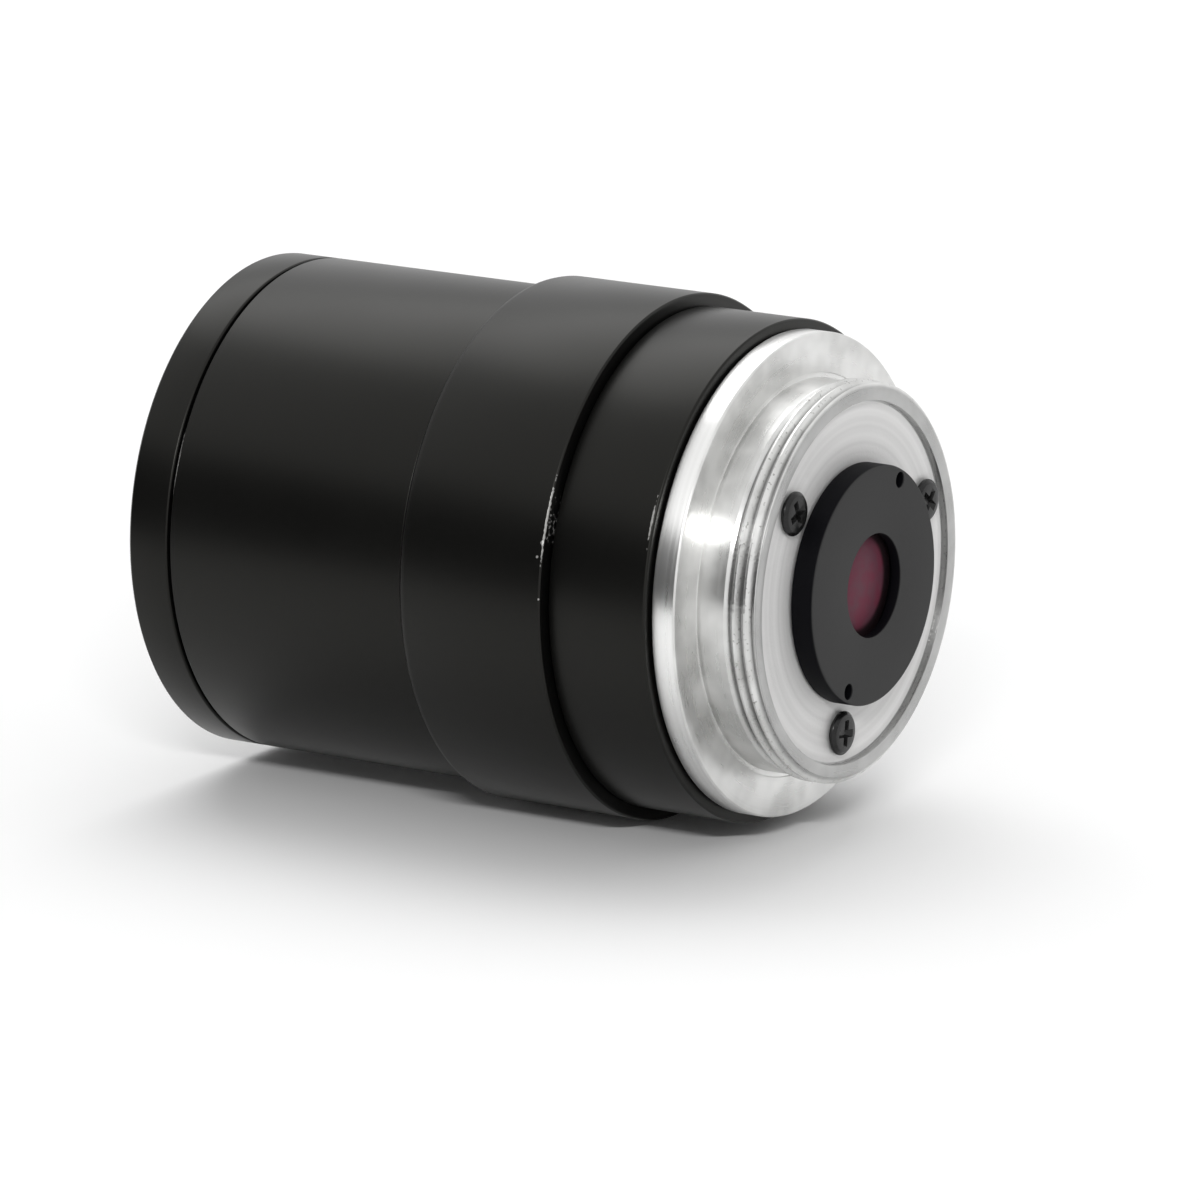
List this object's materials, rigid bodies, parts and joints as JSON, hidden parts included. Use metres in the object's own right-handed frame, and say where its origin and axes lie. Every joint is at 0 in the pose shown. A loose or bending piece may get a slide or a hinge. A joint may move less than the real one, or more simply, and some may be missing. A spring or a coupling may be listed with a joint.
{
  "type": "varifocal lens",
  "caption": "Round varifocal camera lens with focus, zoom and iris rings, sliding lens groups, a bladed iris and a turned screw mount.",
  "frame": {"origin": "centre of the front rim's face, on which the lens stands", "axes": "+Z along the optical axis, from the front rim to the mount; the picture looks from -Y with -X up"},
  "size_m": [0.0336, 0.0336, 0.0455],
  "materials": {
    "satin_black": "black anodised, satin, finely turned",
    "matt_black": "black anodised, matt",
    "cap_black": "matt grey-black face",
    "turned_aluminium": "bare, bright turned",
    "black_screw": "blackened steel",
    "steel": "ground steel",
    "blade_black": "matt black lacquered spring steel",
    "clear_glass": "polished, anti-reflection coated",
    "coated_glass": "polished, magenta coating"
  },
  "bodies": {
    "barrel": {"main_barrel": "matt_black", "front_rim_ring": "satin_black", "mount_flange": "turned_aluminium", "mount_screw_1": "black_screw", "mount_screw_2": "black_screw", "mount_screw_3": "black_screw", "rear_cap": "cap_black", "rear_glass": "coated_glass", "rear_lock_ring": "satin_black", "iris_housing": "matt_black", "iris_cover": "matt_black", "iris_lock_ring": "satin_black"},
    "focus_ring": {"focus_ring": "satin_black"},
    "front_group": {"front_cell": "matt_black", "front_lens_1": "clear_glass", "front_lens_2": "clear_glass", "front_lens_3": "clear_glass", "front_lock_ring": "satin_black", "front_spacer": "matt_black", "focus_pin_1": "steel", "focus_pin_2": "steel", "focus_pin_3": "steel"},
    "zoom_ring": {"zoom_ring": "satin_black"},
    "zoom_group": {"zoom_cell": "matt_black", "zoom_lens_1": "clear_glass", "zoom_lens_2": "clear_glass", "zoom_lens_3": "clear_glass", "zoom_lock_ring": "satin_black", "zoom_pin_1": "steel", "zoom_pin_2": "steel", "zoom_pin_3": "steel"},
    "iris_ring": {"iris_ring": "satin_black", "iris_arm_pin": "steel", "iris_rotor": "matt_black"},
    "iris_blade_1": {"iris_blade_1": "blade_black"},
    "iris_blade_2": {"iris_blade_2": "blade_black"},
    "iris_blade_3": {"iris_blade_3": "blade_black"},
    "iris_blade_4": {"iris_blade_4": "blade_black"},
    "iris_blade_5": {"iris_blade_5": "blade_black"},
    "iris_blade_6": {"iris_blade_6": "blade_black"}
  },
  "joints": [
    {"name": "focus_turn", "type": "hinge", "parent": "barrel", "child": "focus_ring", "pos_m": [0, 0, 0.012], "axis": [0, 0, 1], "range_deg": [0, 100]},
    {"name": "front_group_slide", "type": "slide", "parent": "barrel", "child": "front_group", "axis": [0, 0, 1], "range_m": [-0.003, 0]},
    {"name": "zoom_turn", "type": "hinge", "parent": "barrel", "child": "zoom_ring", "pos_m": [0, 0, 0.026], "axis": [0, 0, 1], "range_deg": [0, 70]},
    {"name": "zoom_group_slide", "type": "slide", "parent": "barrel", "child": "zoom_group", "axis": [0, 0, 1], "range_m": [-0.005, 0]},
    {"name": "iris_turn", "type": "hinge", "parent": "barrel", "child": "iris_ring", "pos_m": [0, 0, 0.0354], "axis": [0, 0, 1], "range_deg": [0, 42]},
    {"name": "blade_1_swing", "type": "hinge", "parent": "barrel", "child": "iris_blade_1", "pos_m": [0.0103, 0, 0.0185], "axis": [0, 0, 1], "range_deg": [0, 25]},
    {"name": "blade_2_swing", "type": "hinge", "parent": "barrel", "child": "iris_blade_2", "pos_m": [0.00515, 0.00892, 0.0185], "axis": [0, 0, 1], "range_deg": [0, 25]},
    {"name": "blade_3_swing", "type": "hinge", "parent": "barrel", "child": "iris_blade_3", "pos_m": [-0.00515, 0.00892, 0.0185], "axis": [0, 0, 1], "range_deg": [0, 25]},
    {"name": "blade_4_swing", "type": "hinge", "parent": "barrel", "child": "iris_blade_4", "pos_m": [-0.0103, 0, 0.0185], "axis": [0, 0, 1], "range_deg": [0, 25]},
    {"name": "blade_5_swing", "type": "hinge", "parent": "barrel", "child": "iris_blade_5", "pos_m": [-0.00515, -0.00892, 0.0185], "axis": [0, 0, 1], "range_deg": [0, 25]},
    {"name": "blade_6_swing", "type": "hinge", "parent": "barrel", "child": "iris_blade_6", "pos_m": [0.00515, -0.00892, 0.0185], "axis": [0, 0, 1], "range_deg": [0, 25]}
  ],
  "couplings": [
    {"joint": "front_group_slide", "follows": "focus_turn", "m_per_rad": -0.0017189},
    {"joint": "zoom_group_slide", "follows": "zoom_turn", "m_per_rad": -0.0040926},
    {"joint": "blade_1_swing", "follows": "iris_turn", "ratio": 0.59524},
    {"joint": "blade_2_swing", "follows": "iris_turn", "ratio": 0.59524},
    {"joint": "blade_3_swing", "follows": "iris_turn", "ratio": 0.59524},
    {"joint": "blade_4_swing", "follows": "iris_turn", "ratio": 0.59524},
    {"joint": "blade_5_swing", "follows": "iris_turn", "ratio": 0.59524},
    {"joint": "blade_6_swing", "follows": "iris_turn", "ratio": 0.59524}
  ]
}
